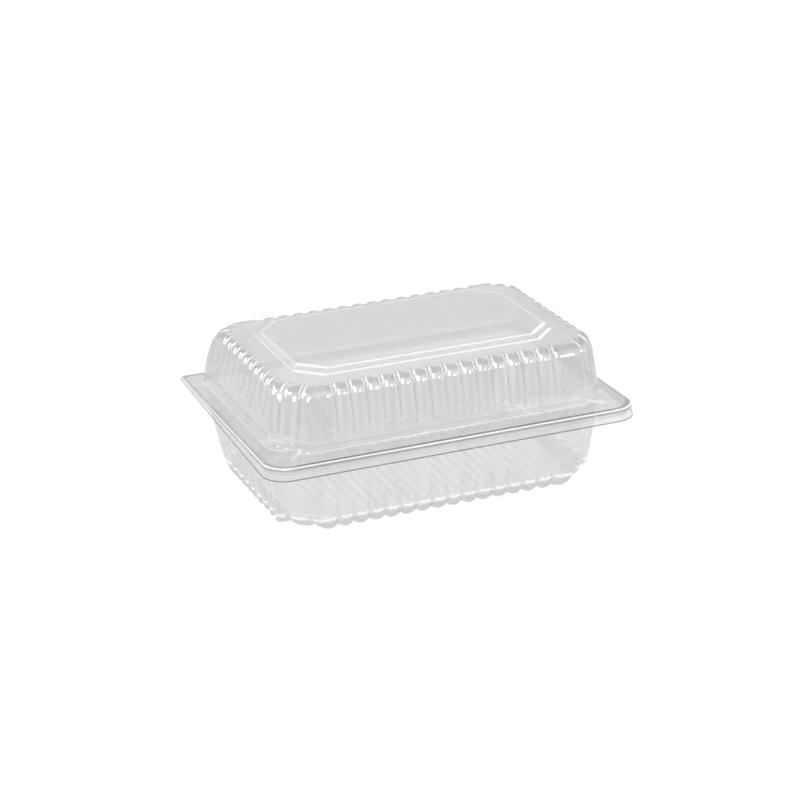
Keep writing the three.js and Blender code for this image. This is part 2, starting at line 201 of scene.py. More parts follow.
# The tray's bottom
FLOOR_LEVEL = -41.5
FLOOR = {
    "half": 72.2, "front": 44.2, "back": 44.2,
    "cut_front": 16.4, "cut_back": 16.4, "round": 0.0,
}
FLOOR_EDGE_ROWS = (
    (0.45, -RIM_HEIGHT),
    (0.35, -42.8),
    (0.1, -41.75),
    (0.0, FLOOR_LEVEL - 0.08),
    (-0.2, FLOOR_LEVEL),
    (-0.5, FLOOR_LEVEL),
)
FIELD_DEPTH = 38.0
RIB_PITCH = 5.3
RIB_COLUMNS = 7
RIB_FLANK = (0.33, 0.17)
RIB_HEIGHT = 0.8
RIB_END = 1.8

# The fold of the sheet that joins the rims at the back
HINGE_HALF = 93.0
HINGE_Y = 71.72
HINGE_BOTTOM = 41.75
HINGE_TOP = 42.95
HINGE_SHEET = 0.2
HINGE_COLUMNS = 62
HINGE_ROWS = 6

# Painted light on the sheet, from -1, a painted highlight, to 1, painted shade. The fold's rows are
# counted from its last, and the panel step's rows with painted highlights backwards from the last
# that was made.
TRIM_SHADE = 0.6
FOLD_SHADES = {-5: 0.3, -4: -0.5, -3: -1.0, -2: -1.0, -1: 0.3}
FRONT_FOLD_SHADES = {-5: 0.3, 0: 0.5, 1: 0.9, 2: 0.6}
FOOT_HIGHLIGHT = -0.7
HIGHLIGHT_STEP_ROWS = (5, 4, 3, 2)
FLOOR_EDGE_HIGHLIGHTS = {4: -0.6, 3: -1.0}
CORNER_DARK_PART = 0.4
SIDE_HIGHLIGHT_PART = 0.4
SIDE_DARK_PART = 0.2
LID_TOP_SHADE = -0.1
HOOD_SHADE = 0.22
HOOD_GROOVE_SHADE = 0.3
HOOD_LINE_HIGHLIGHT = -0.75
RIDGE_HIGHLIGHT = -3.2
FLOOR_SHADE = -0.25
RIB_LEFT_HIGHLIGHT = -0.6
RIB_RIGHT_SHADE = 0.05
CUP_SHADE = 0.08
DASH_HIGHLIGHT = -0.9
PLAIN_HOOD_PART = 0.7
LID_WALL_SHADE = 0.13
LID_STREAK_SHADE = -0.07
LID_GROOVE_SHADE = 0.06
BACK_WALL_SHADE = 0.07
BACK_STREAK_SHADE = -0.08
LID_WALL_CLOUD = 0.3
CUP_CLOUD = 0.6

# How the sheet mirrors: head on, how much more at a slant, and the part it loses where it is level.
# A part counts as level between the two heights of its normal.
MIRROR = 0.05
SLANT_MIRROR = 0.55
SLANT_POWER = 5.0
EDGE_POWER = 6.0
LEVEL_LOSS = 0.9
LEVEL_NORMALS = (0.96, 0.995)
# How much hazier painted highlights make the sheet
HIGHLIGHT_HAZE = 0.7

# Making the sheets, in metres: points this close become one, and the waviness stops this close to
# the table and fades out this close to the rim. Folds over the angle look sharp.
MERGE_DISTANCE = 0.00001
TABLE_DISTANCE = 0.0005
RIM_DISTANCE = 0.002
SHARP_ANGLE = math.radians(50)

# Softboxes: their distance and the point they face, in metres, then for each one its direction from
# that point, its width and its height, all in degrees, and its glow
LIGHT_DISTANCE = 2.6
LIGHT_CENTRE = (0.0, 0.0, 0.05)
SOFT_BOXES = {
    "front_box": ((-118.0, 20.0), 30.0, 22.0, 16.0),
    "front_strip": ((-66.0, 11.0), 11.0, 9.0, 13.0),
    "right_box": ((-31.0, 6.0), 9.0, 9.0, 10.0),
    "left_box": ((148.0, 28.0), 40.0, 24.0, 9.0),
    "left_top_box": ((187.0, 43.0), 15.0, 14.0, 9.0),
}

SIDES = (
    "front", "front_right", "right", "back_right", "back", "back_left", "left", "front_left",
)
STRAIGHT = ("front", "right", "back", "left")

# The camera stands where the photograph was taken from
CAMERA_PLACE = (-405.26, -1037.67, 461.98)
CAMERA_TURN = (69.1547, 1.8307, -21.9118)
CAMERA_LENS = 107.02


class MealBoxSizes(PropertyGroup):
    """Sizes of the container that a user may change"""

    sheet: FloatProperty(
        name="Sheet", description="Thickness of the plastic sheet",
        default=SHEET * MM, min=0.0002, max=0.001, unit="LENGTH", precision=5)
    waviness: FloatProperty(
        name="Waviness", description="How far the formed sheet strays from its true shape",
        default=0.00004, min=0.0, max=0.0005, unit="LENGTH", precision=5)


class MealBoxLooks(PropertyGroup):
    """Colours and finish of the container and its stage"""

    tint: FloatVectorProperty(
        name="Sheet Tint", description="Colour of light that has passed one face of the sheet",
        default=(0.98, 0.98, 0.98), size=3, min=0.0, max=1.0, subtype="COLOR")
    # The two colours that painted shade darkens the sheet towards, at folds and elsewhere
    painted_shade_tint: FloatVectorProperty(
        name="Fold Tint",
        description="Colour of light that has passed one face of the sheet at a fold",
        default=(0.35, 0.35, 0.35), size=3, min=0.0, max=1.0, subtype="COLOR")
    body: FloatVectorProperty(
        name="Haze Colour", description="Colour of the light that the sheet scatters",
        default=(0.69, 0.69, 0.69), size=3, min=0.0, max=1.0, subtype="COLOR")
    painted_shade_body: FloatVectorProperty(
        name="Fold Haze Colour",
        description="Colour of the light that the sheet scatters at a fold",
        default=(0.15, 0.15, 0.15), size=3, min=0.0, max=1.0, subtype="COLOR")
    haze: FloatProperty(
        name="Haze", description="Share of the light that one face of the sheet scatters",
        default=0.28, min=0.0, max=1.0, subtype="FACTOR")
    cloud: FloatProperty(
        name="Cloudiness", description="How much more the cloudier parts of the sheet scatter",
        default=0.22, min=0.0, max=1.0, subtype="FACTOR")
    edge_shade: FloatProperty(
        name="Edge Shade",
        description="How much darker the sheet is where it is seen along its face",
        default=0.25, min=0.0, max=1.0, subtype="FACTOR")
    roughness: FloatProperty(
        name="Gloss Roughness", description="Roughness of the sheet's reflections",
        default=0.05, min=0.0, max=1.0, subtype="FACTOR")
    flat_roughness: FloatProperty(
        name="Flat Roughness",
        description="How much rougher the reflections are on the level parts",
        default=0.3, min=0.0, max=1.0, subtype="FACTOR")
    floor: FloatVectorProperty(
        name="Floor", description="Colour of the floor under the container",
        default=(0.95, 0.95, 0.95), size=3, min=0.0, max=1.0, subtype="COLOR")
    surround: FloatProperty(
        name="Surround", description="Strength of the even light all round",
        default=1.0, min=0.0, max=4.0)
    mirrored_surround: FloatProperty(
        name="Mirrored Surround", description="Strength of the dim room that the gloss mirrors",
        default=0.65, min=0.0, max=4.0)


def smooth(low, high, value):
    """0 below low, 1 above high and an eased step between them."""
    share = min(max((value - low) / (high - low), 0.0), 1.0)
    return share * share * (3 - 2 * share)


def mix(a, b, share):
    """The value at a share of the way from one to the other."""
    return a + (b - a) * share


def side_stations(side, grooves, pitch):
    """The plain end, the flutes and the other plain end of a straight side. groove is 1 at the
    bottom of a groove and 0 on a flute, and flute is the same with a sign for the flute's half."""
    reach = pitch * grooves / 2
    plain = [
        {"side": side, "end": -1, "share": step / PLAIN_STEPS, "groove": 0.0, "flute": 0.0}
        for step in range(PLAIN_STEPS, 0, -1)
    ]
    count = grooves * STEPS_PER_FLUTE
    fluted = []
    for step in range(count + 1):
        place = (step / STEPS_PER_FLUTE) % 1.0
        groove = 1 - abs(2 * place - 1)
        fluted.append({
            "side": side, "end": 0, "along": step * 2 * reach / count - reach,
            "groove": groove, "flute": groove if place <= 0.5 else -groove,
        })
    other = [dict(station, end=1) for station in reversed(plain)]
    return [dict(station, reach=reach) for station in plain + fluted + other]


def corner_stations(side):
    """The places round a corner, with the two grooves that it has."""
    stations = []
    for step in range(1, CORNER_STEPS):
        share = step / CORNER_STEPS
        near = min((share - place for place in CORNER_GROOVES), key=abs)
        groove = max(0.0, 1 - abs(near) / CORNER_HALF_BULGE)
        stations.append({
            "side": side, "share": share,
            "groove": groove, "flute": groove if near <= 0 else -groove,
        })
    return stations


def stations_round(side_grooves, side_pitch):
    """The places where every row of a shell has a point, anticlockwise seen from above."""
    stations = []
    for side in SIDES:
        if side in ("front", "back"):
            part = side_stations(side, LONG_GROOVES, LONG_PITCH)
        elif side in ("left", "right"):
            part = side_stations(side, side_grooves, side_pitch)
        else:
            part = corner_stations(side)
        forwards = side in ("front", "right", "front_right", "back_left")
        stations += part if forwards else part[::-1]
    return stations


def straight_end(side, towards_front, shape):
    """How far a straight side reaches before its corner begins."""
    if side == "front":
        return shape["half"] - shape["cut_front"]
    if side == "back":
        return shape["half"] - shape["cut_back"]
    if towards_front:
        return shape["front"] - shape["cut_front"]
    return shape["back"] - shape["cut_back"]


def straight_place(station, shape):
    """How far along its side a station lies."""
    at_low = station["end"] < 0 or (station["end"] == 0 and station["along"] < 0)
    end = straight_end(station["side"], at_low, shape)
    reach = min(station["reach"], end - CORNER_MARGIN)
    if station["end"] == 0:
        return station["along"] * min(1.0, (end - CORNER_MARGIN) / station["reach"])
    return station["end"] * mix(reach, end, station["share"])


def outline_point(station, shape):
    """The point of an outline at a station, and the direction straight out of it."""
    side = station["side"]
    if side in STRAIGHT:
        along = straight_place(station, shape)
        if side == "front":
            return along, -shape["front"], 0.0, -1.0
        if side == "back":
            return along, shape["back"], 0.0, 1.0
        sign = 1.0 if side == "right" else -1.0
        return sign * shape["half"], along, sign, 0.0
    at_front = side.startswith("front")
    depth = shape["front"] if at_front else shape["back"]
    cut = shape["cut_front"] if at_front else shape["cut_back"]
    sign_x = 1.0 if side.endswith("right") else -1.0
    sign_y = -1.0 if at_front else 1.0
    share = station["share"]
    turn = math.pi / 4 + math.asin((2 * share - 1) / math.sqrt(2))
    across_x = mix(share, math.sin(turn), shape["round"])
    across_y = mix(1 - share, math.cos(turn), shape["round"])
    diagonal = math.sqrt(0.5)
    x = sign_x * (shape["half"] - cut + cut * across_x)
    y = sign_y * (depth - cut + cut * across_y)
    return x, y, sign_x * diagonal, sign_y * diagonal


def ridge_lift(x, y):
    """The share of the ridge's height at a place. Only the front corners have a ridge."""
    across = (abs(x) - abs(y)) / math.sqrt(2)
    return smooth(RIDGE_HALF_FOOT, RIDGE_HALF_TOP, abs(across - RIDGE_CENTRE)) if y < 0 else 0.0


def row_points(stations, shape, level=0.0, inward=0.0, sink=0.0, lift=0.0,
               sharp=GROOVE_SHARPNESS):
    """One row of a shell's points, in millimetres. sharp says how narrow the grooves are."""
    points = []
    for station in stations:
        x, y, nx, ny = outline_point(station, shape)
        groove = station["groove"] ** sharp
        depth = inward * groove
        z = RIM_HEIGHT + level + sink * groove
        if lift:
            z += lift * ridge_lift(x, y)
        points.append(Vector((x - nx * depth, y - ny * depth, z)))
    return points


def skirt_share(y):
    """How deep the skirt hangs, as a share: least at the hinge, and all of it at the front."""
    run = min(max((SKIRT_START - y) / SKIRT_RUN, 0.0), 1.0) ** SKIRT_BEND
    at_hinge = min(max((RIM["back"] - y) / RIM["cut_back"], 0.0), 1.0)
    return at_hinge * mix(SKIRT_BACK_SHARE, 1.0, run)


def skirt_points(stations, reach, rest_side, rest_back, drop, level):
    """A row of the rim's fold or skirt, which hangs lower towards the front."""
    points = row_points(stations, RIM, level)
    for point in points:
        share = skirt_share(point.y)
        point.x *= 1 + mix(rest_side, reach, share) / RIM["half"]
        point.y *= 1 + mix(rest_back, reach, share) / RIM["front"]
        point.z -= drop * share
    return points


def grown(shape, distance):
    """An outline moved outwards all round, with its corners kept."""
    return dict(shape, half=shape["half"] + distance, front=shape["front"] + distance,
                back=shape["back"] + distance)


def curve_through(rows, steps):
    """Rows on a smooth curve through the given rows, steps of them from one to the next."""
    result = []
    for index in range(len(rows) - 1):
        before = rows[max(index - 1, 0)]
        start, end = rows[index], rows[index + 1]
        after = rows[min(index + 2, len(rows) - 1)]
        for step in range(steps[index]):
            t = step / steps[index]
            row = []
            for p0, p1, p2, p3 in zip(before, start, end, after):
                bend = 2 * p1 + (p2 - p0) * t + (2 * p0 - 5 * p1 + 4 * p2 - p3) * t * t
                row.append(0.5 * (bend + (3 * p1 - p0 - 3 * p2 + p3) * t ** 3))
            result.append(tuple(row))
    result.append(rows[-1])
    return result


def wall_rows(stations, wall, steps, rounding):
    """The rows of a fluted wall. Towards the lid's top its grooves get narrower."""
    rows = []
    for values in curve_through(wall, steps):
        shape = dict(zip(WALL_KEYS, values))
        level, inward, sink = shape.pop("level"), shape.pop("inward"), shape.pop("sink")
        sharp = mix(GROOVE_SHARPNESS, UPPER_GROOVE_SHARPNESS, smooth(12.0, 24.0, level))
        rows.append(row_points(stations, dict(shape, round=rounding), max(level, -RIM_HEIGHT),
                               max(inward, 0.0), sink, sharp=sharp))
    return rows


def fold_rows(stations, level, inset, rest_back, depth):
    """The skirt from its trimmed edge up, and the round fold to the top of the rim."""
    rows = []
    flare = SKIRT_FLARE if inset == 0 else 0.0
    side_inset = 0.0 if inset == 0 else LIP_INSET
    trim = (0.0, TRIM_SHARE, 2 * TRIM_SHARE)
    for share in (*trim, *(step / SKIRT_STEPS for step in range(1, SKIRT_STEPS + 1))):
        rows.append((inset + mix(flare, 0.0, share), rest_back, mix(depth, FOLD_RADIUS, share)))
    for step in range(1, FOLD_STEPS + 1):
        turn = math.pi / 2 * step / FOLD_STEPS
        back = FOLD_RADIUS * (1 - math.cos(turn))
        rows.append((inset - back, rest_back - back, FOLD_RADIUS * (1 - math.sin(turn))))
    return [skirt_points(stations, reach, rest - side_inset, rest, drop, level)
            for reach, rest, drop in rows]


def front_part(side, painted_light):
    """The part that a side has of the front's painted light. Painted highlights on folds are brightest
    at the front and at its corners."""
    if side == "front":
        return painted_light
    if side.startswith("front"):
        return painted_light if painted_light < 0 else CORNER_DARK_PART * painted_light
    return (SIDE_HIGHLIGHT_PART if painted_light < 0 else SIDE_DARK_PART) * painted_light


def grow_rows(bm, rows, stations, shades, front_shades):
    """A skin through rows of points: a ring of edges, extruded from row to row. shades holds the
    painted shading or highlight of the rows that have their own, and front_shades that of rows which
    have it at the front, and little of it elsewhere. Each point keeps its row and its place on a flute."""
    painted_light = bm.verts.layers.float.new("painted_light")
    flute = bm.verts.layers.float.new("flute")
    row_number = bm.verts.layers.float.new("row")
    ring = bmesh.ops.create_circle(bm, segments=len(rows[0]), radius=1.0, cap_ends=False)["verts"]
    edges = list(dict.fromkeys(edge for vert in ring for edge in vert.link_edges))
    for index, row in enumerate(rows):
        if index:
            made = bmesh.ops.extrude_edge_only(bm, edges=edges)["geom"]
            ring = [item for item in made if isinstance(item, bmesh.types.BMVert)]
            inside = set(ring)
            edges = [item for item in made if isinstance(item, bmesh.types.BMEdge)
                     and item.verts[0] in inside and item.verts[1] in inside]
        for vert, point, station in zip(ring, row, stations):
            vert.co = point * MM
            from_front = front_part(station["side"], front_shades.get(index, 0.0))
            vert[painted_light] = shades.get(index, 0.0) + from_front
            vert[flute] = station["flute"]
            vert[row_number] = index
    return edges


def soften_corners(row, passes=2):
    """Rounds the corners of a row a little."""
    count = len(row)
    for _ in range(passes):
        row = [row[i] * 0.5 + (row[i - 1] + row[(i + 1) % count]) * 0.25 for i in range(count)]
    return row


def wave(point, size):
    """How far a formed sheet strays at a place, in metres, as a slow and a quick wave in radians
    for each millimetre."""
    x, y, z = point.x / MM, point.y / MM, point.z / MM
    slow = math.sin(x * 0.11 + z * 0.07) * math.cos(y * 0.13 - z * 0.05)
    quick = math.sin(x * 0.37 - y * 0.21 + z * 0.29) * math.cos(y * 0.41 + x * 0.17)
    return size * (slow * 0.7 + quick * 0.3)


def hood_top(flute):
    """Where a hood of painted shade ends, as a share of its rows. It is highest at the grooves, like
    a fin.
    """
    if abs(flute) > HOOD_GROOVE_PLACE:
        return HOOD_TOP_GROOVE
    return mix(HOOD_TOP_MIDDLE, HOOD_TOP_LEFT if flute < 0 else HOOD_TOP_RIGHT, abs(flute))


def wall_streak(flute):
    """Where the walls' paler painted streaks lie: 1 on the flanks of a flute, and 0 on its middle and
    in the groove.
    """
    return smooth(0.1, 0.5, abs(flute)) * smooth(1.0, 0.7, abs(flute))


def lid_shade(point, flute, hood):
    """How much painted shade the lid's sheet has; below 0 it has painted highlights. The hoods over
    the flutes' upper ends are painted shade, and the grooves between them are painted shade between
    painted highlight lines. hood runs from 0 to 1 over the hoods' rows."""
    level = point.z / MM - RIM_HEIGHT
    # The top is painted a little lighter
    if hood >= 1.0:
        return LID_TOP_SHADE
    # The hoods are painted shade, and the grooves painted shade between painted highlight lines
    if hood > 0.0:
        top = hood_top(flute)
        end = smooth(top + HOOD_SOFTNESS, top - HOOD_SOFTNESS, hood)
        dark = HOOD_SHADE * smooth(0.0, 0.25, hood) * end
        if abs(flute) > LINE_END_PLACE:
            return dark + HOOD_GROOVE_SHADE * smooth(0.95, 0.7, hood)
        if abs(flute) > LINE_PLACE:
            return HOOD_LINE_HIGHLIGHT * smooth(0.95, 0.75, hood)
        return dark if abs(flute) > 0.01 else PLAIN_HOOD_PART * dark
    # The ridges' slopes get painted highlights
    if 0.1 < level < RIDGE_HEIGHT + 0.3:
        lift = ridge_lift(point.x / MM, point.y / MM)
        return RIDGE_HIGHLIGHT * lift * (1 - lift)
    # The walls get painted shade, paler painted streaks on the flutes' flanks and a little more painted
    # shade in the grooves
    wall = smooth(3.0, 8.0, level) * smooth(28.0, 24.0, level)
    groove = LID_GROOVE_SHADE * smooth(0.8, 1.0, abs(flute))
    return (LID_WALL_SHADE + LID_STREAK_SHADE * wall_streak(flute) + groove) * wall


def tray_shade(point, normal, flute):
    """How much painted shade the tray's sheet has: a little on the back wall, less on its flutes'
    flanks, and in the flutes' round lower ends, with a painted highlight dash over each. The bottom is
    painted paler, and the ribs' left flanks get painted highlights."""
    x, y, level = point.x / MM, point.y / MM, point.z / MM - RIM_HEIGHT
    on_panel = abs(x) < FLOOR["half"] and abs(y) < FLOOR["front"] and abs(normal.z) > 0.5
    # The bottom is painted paler, with painted highlights on the ribs' left flanks
    if level > FLOOR_LEVEL - 0.05 and on_panel:
        flank = RIB_LEFT_HIGHLIGHT if normal.x > 0 else RIB_RIGHT_SHADE
        return mix(FLOOR_SHADE, flank, smooth(0.995, 0.95, abs(normal.z)))
    # Painted shade on the back wall and in the cups, with a painted highlight dash over each cup
    wall = smooth(-8.0, -14.0, level) * smooth(-36.0, -34.0, level) * smooth(0.0, 30.0, y)
    across = smooth(0.85, 0.6, abs(flute))
    dash = smooth(-35.8, -36.6, level) * smooth(-38.0, -37.2, level) * across
    cup = CUP_SHADE * smooth(-38.0, -39.0, level)
    back = (BACK_WALL_SHADE + BACK_STREAK_SHADE * wall_streak(flute)) * wall
    return cup + back + DASH_HIGHLIGHT * dash


def lid_cloud(point):
    """The lid's walls, drawn the furthest, are cloudier than the rest."""
    level = point.z / MM - RIM_HEIGHT
    return LID_WALL_CLOUD * smooth(3.0, 8.0, level) * smooth(29.0, 25.0, level)


def tray_cloud(point):
    """The flutes' round lower ends are cloudier than the rest of the tray."""
    level = point.z / MM - RIM_HEIGHT
    on_floor = abs(point.x / MM) < FLOOR["half"] and abs(point.y / MM) < FLOOR["front"]
    return 0.0 if on_floor else CUP_CLOUD * smooth(-39.0, -40.5, level)


def finish_shell(bm, name, upwards, shade_at, cloud_at, sizes):
    """Turns a skin into a closed sheet of the given thickness and makes its object. The sheet
    strays a little from its true shape, but not at the rim and where it stands on the table."""
    bmesh.ops.remove_doubles(bm, verts=bm.verts[:], dist=MERGE_DISTANCE)
    bmesh.ops.recalc_face_normals(bm, faces=bm.faces[:])
    flat = max(bm.faces, key=lambda face: face.calc_area())
    if (flat.normal.z > 0) != upwards:
        bmesh.ops.reverse_faces(bm, faces=bm.faces[:])
    bm.normal_update()
    for vert in bm.verts:
        if not vert.is_boundary and abs(vert.co.z) > TABLE_DISTANCE:
            inner = smooth(0.0, RIM_DISTANCE, abs(vert.co.z - RIM_HEIGHT * MM))
            vert.co -= vert.normal * (abs(wave(vert.co, sizes.waviness)) * inner)
    bm.normal_update()
    painted_light, flute, row = (bm.verts.layers.float[name] for name in ("painted_light", "flute", "row"))
    cloud = bm.verts.layers.float.new("cloud")
    matte = bm.verts.layers.float.new("matte")
    for vert in bm.verts:
        own = shade_at(vert.co, vert.normal, vert[flute], vert[row])
        # Open edges are painted fully dark, as painted shade along the trimmed sheet
        vert[painted_light] = 1.0 if vert.is_boundary else vert[painted_light] + own
        vert[cloud] = cloud_at(vert.co)
        vert[matte] = smooth(*LEVEL_NORMALS, abs(vert.normal.z))
    bmesh.ops.solidify(bm, geom=bm.faces[:], thickness=sizes.sheet)
    mesh = bpy.data.meshes.new(name)
    bm.to_mesh(mesh)
    bm.free()
    mesh.shade_smooth()
    mesh.set_sharp_from_angle(angle=SHARP_ANGLE)
    piece = bpy.data.objects.new(name, mesh)
    bpy.context.scene.collection.objects.link(piece)
    return piece


def add_math(tree, operation, first, second, third=None):
    """A clamped math node whose inputs are numbers or other nodes' outputs."""
    node = tree.nodes.new("ShaderNodeMath")
    node.operation = operation
    node.use_clamp = True
    for socket, value in zip(node.inputs, (first, second, third)):
        if isinstance(value, (int, float)):
            socket.default_value = value
        elif value is not None:
            tree.links.new(value, socket)
    return node.outputs["Value"]


def add_colour_mix(tree, share, plain, full):
    """A mix of two colours by a node's output."""
    node = tree.nodes.new("ShaderNodeMix")
    node.data_type = "RGBA"
    tree.links.new(share, node.inputs["Factor"])
    node.inputs["A"].default_value = (*plain, 1.0)
    node.inputs["B"].default_value = (*full, 1.0)
    return node.outputs["Result"]


def add_noise(tree, scale, detail):
    """Noise on the object's own coordinates, at one scale or one for each axis."""
    place = tree.nodes.new("ShaderNodeTexCoord")
    stretch = tree.nodes.new("ShaderNodeMapping")
    stretch.inputs["Scale"].default_value = scale
    noise = tree.nodes.new("ShaderNodeTexNoise")
    noise.inputs["Scale"].default_value = 1.0
    noise.inputs["Detail"].default_value = detail
    tree.links.new(place.outputs["Object"], stretch.inputs["Vector"])
    tree.links.new(stretch.outputs["Vector"], noise.inputs["Vector"])
    return noise.outputs["Fac"]


def add_shader_mix(tree, share, plain, full):
    """A mix of two shaders, by a number or a node's output."""
    node = tree.nodes.new("ShaderNodeMixShader")
    if isinstance(share, float):
        node.inputs["Fac"].default_value = share
    else:
        tree.links.new(share, node.inputs["Fac"])
    tree.links.new(plain, node.inputs[1])
    tree.links.new(full, node.inputs[2])
    return node.outputs["Shader"]


def clear_sheet_material(looks):
    """Clear glossy plastic with a pale haze. It carries painted shade and painted highlights at folds,
    edges, hoods and grooves, and is darker where it is seen along its face, because the light passes
    through more of it there. Its level parts mirror less."""
    material = bpy.data.materials.get("clear_sheet")
    if material:
        return material
    material = bpy.data.materials.new("clear_sheet")
    material.use_nodes = True
    tree = material.node_tree
    tree.nodes.clear()
    link = tree.links.new

    # The surface is a little uneven, and drawing it into the mould left faint upright streaks
    bump = tree.nodes.new("ShaderNodeBump")
    bump.inputs["Strength"].default_value = 0.12
    bump.inputs["Distance"].default_value = 0.0005
    link(add_noise(tree, (90.0, 90.0, 60.0), 3.0), bump.inputs["Height"])
    streaks = tree.nodes.new("ShaderNodeMapRange")
    streaks.inputs["From Min"].default_value = 0.4
    streaks.inputs["From Max"].default_value = 0.75
    streaks.inputs["To Max"].default_value = 0.05
    link(add_noise(tree, (160.0, 160.0, 14.0), 2.0), streaks.inputs["Value"])

    slant = tree.nodes.new("ShaderNodeLayerWeight")
    slant.inputs["Blend"].default_value = 0.5
    link(bump.outputs["Normal"], slant.inputs["Normal"])
    facing = slant.outputs["Facing"]
    # The attribute holds painted shade above 0 and painted highlights below 0
    painted_light = tree.nodes.new("ShaderNodeAttribute")
    painted_light.attribute_name = "painted_light"
    along_face = add_math(tree, "POWER", facing, EDGE_POWER)
    edge = add_math(tree, "MULTIPLY", along_face, looks.edge_shade)
    painted_light_and_streaks = add_math(tree, "ADD", painted_light.outputs["Fac"], streaks.outputs["Result"])
    dark = add_math(tree, "ADD", painted_light_and_streaks, edge)
    highlight = add_math(tree, "MULTIPLY", painted_light.outputs["Fac"], -1.0)

    through = tree.nodes.new("ShaderNodeBsdfTransparent")
    link(add_colour_mix(tree, dark, looks.tint, looks.painted_shade_tint), through.inputs["Color"])
    front = tree.nodes.new("ShaderNodeBsdfDiffuse")
    back = tree.nodes.new("ShaderNodeBsdfTranslucent")
    # Painted highlights whiten the haze colour and make the sheet hazier
    highlighted_body = tree.nodes.new("ShaderNodeMix")
    highlighted_body.data_type = "RGBA"
    link(highlight, highlighted_body.inputs["Factor"])
    link(add_colour_mix(tree, dark, looks.body, looks.painted_shade_body), highlighted_body.inputs["A"])
    highlighted_body.inputs["B"].default_value = (1.0, 1.0, 1.0, 1.0)
    body = highlighted_body.outputs["Result"]
    link(body, front.inputs["Color"])
    link(body, back.inputs["Color"])
    milky = add_shader_mix(tree, 0.5, front.outputs["BSDF"], back.outputs["BSDF"])
    cloud = tree.nodes.new("ShaderNodeAttribute")
    cloud.attribute_name = "cloud"
    hazy = add_math(tree, "MULTIPLY_ADD", cloud.outputs["Fac"], looks.cloud, looks.haze)
    hazy = add_math(tree, "MULTIPLY_ADD", highlight, HIGHLIGHT_HAZE, hazy)
    sheet = add_shader_mix(tree, hazy, through.outputs["BSDF"], milky)

    gloss = tree.nodes.new("ShaderNodeBsdfAnisotropic")
    gloss.inputs["Color"].default_value = (1.0, 1.0, 1.0, 1.0)
    matte = tree.nodes.new("ShaderNodeAttribute")
    matte.attribute_name = "matte"
    level = matte.outputs["Fac"]
    link(add_math(tree, "MULTIPLY_ADD", level, looks.flat_roughness, looks.roughness),
         gloss.inputs["Roughness"])
    link(bump.outputs["Normal"], gloss.inputs["Normal"])
    slanted = add_math(tree, "POWER", facing, SLANT_POWER)
    mirrored = add_math(tree, "MULTIPLY_ADD", slanted, SLANT_MIRROR, MIRROR)
    kept = add_math(tree, "MULTIPLY_ADD", level, -LEVEL_LOSS, 1.0)
    mirrored = add_math(tree, "MULTIPLY", mirrored, kept)
    surface = add_shader_mix(tree, mirrored, sheet, gloss.outputs["BSDF"])

    # Light that only passes on its way elsewhere isn't held back
    rays = tree.nodes.new("ShaderNodeLightPath")
    clear = tree.nodes.new("ShaderNodeBsdfTransparent")
    clear.inputs["Color"].default_value = (*looks.tint, 1.0)
    seen = add_math(tree, "ADD", rays.outputs["Is Camera Ray"], rays.outputs["Is Glossy Ray"])
    output = tree.nodes.new("ShaderNodeOutputMaterial")
    link(add_shader_mix(tree, seen, clear.outputs["BSDF"], surface), output.inputs["Surface"])
    return material


class MEALBOX_OT_lid(Operator):
    """Make the domed, fluted lid with its rim"""

    bl_idname = "mealbox.lid"
    bl_label = "Make Lid"

    def execute(self, context):
        sizes = context.scene.meal_box_sizes
        stations = stations_round(LID_SIDE_GROOVES, LID_SIDE_PITCH)
        rows = fold_rows(stations, 0.0, 0.0, 0.0, SKIRT_DEPTH)
        last = len(rows) - 1
        # The rim's fold gets painted highlight rows between rows of painted shade, and the trimmed edge a
        # line of painted shade. At the front a painted dark line runs just inside the fold.
        shades = {last + place: painted_light for place, painted_light in FOLD_SHADES.items()}
        shades[1] = TRIM_SHADE
        front_shades = {last + place: painted_light for place, painted_light in FRONT_FOLD_SHADES.items()}
        for distance in INNER_RIM_ROWS:
            rows.append(row_points(stations, grown(RIM, -distance)))
        for distance, lift in RIDGE_ROWS:
            shape = dict(grown(FOOT, distance), cut_front=RIDGE_CUT + (RIDGE_FRONT - distance))
            rows.append(row_points(stations, shape, lift=lift * RIDGE_HEIGHT))
        for step in range(FOOT_STEPS + 1):
            turn = math.pi / 2 * step / FOOT_STEPS
            shape = grown(FOOT, LID_FOOT_RADIUS * (1 - math.sin(turn)))
            rows.append(row_points(stations, shape, LID_FOOT_RADIUS * (1 - math.cos(turn)),
                                   lift=RIDGE_HEIGHT))
        # A painted highlight line along the wall's foot
        shades[len(rows) - 3] = FOOT_HIGHLIGHT
        for distance, level, lift in LID_FOOT_ROWS:
            shape = grown(FOOT, distance)
            rows.append(row_points(stations, shape, level, lift=RIDGE_HEIGHT * lift))
        first_hood_row = len(rows) + HOOD_START
        rows += wall_rows(stations, LID_WALL, LID_STEPS, LID_ROUND)
        steps = ((grown(PANEL, PANEL_SLOPE), PANEL_FOOT_ROWS), (PANEL, PANEL_TOP_ROWS))
        for outline, step_rows in steps:
            for distance, level in step_rows:
                row = row_points(stations, grown(outline, distance), RING_LEVEL + level)
                rows.append(soften_corners(row))
            # The step's edges get painted highlight lines, brightest at the front
            front_shades.update({len(rows) - back: -1.0 for back in HIGHLIGHT_STEP_ROWS})

        def shade_at(point, normal, flute, row):
            return lid_shade(point, flute, (row - first_hood_row) / HOOD_ROWS)

        bm = bmesh.new()
        edges = grow_rows(bm, rows, stations, shades, front_shades)
        bmesh.ops.contextual_create(bm, geom=edges)
        piece = finish_shell(bm, "lid_sheet", True, shade_at, lid_cloud, sizes)
        piece.data.materials.append(clear_sheet_material(context.scene.meal_box_looks))
        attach(piece, "lid")
        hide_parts("lid")
        return {"FINISHED"}


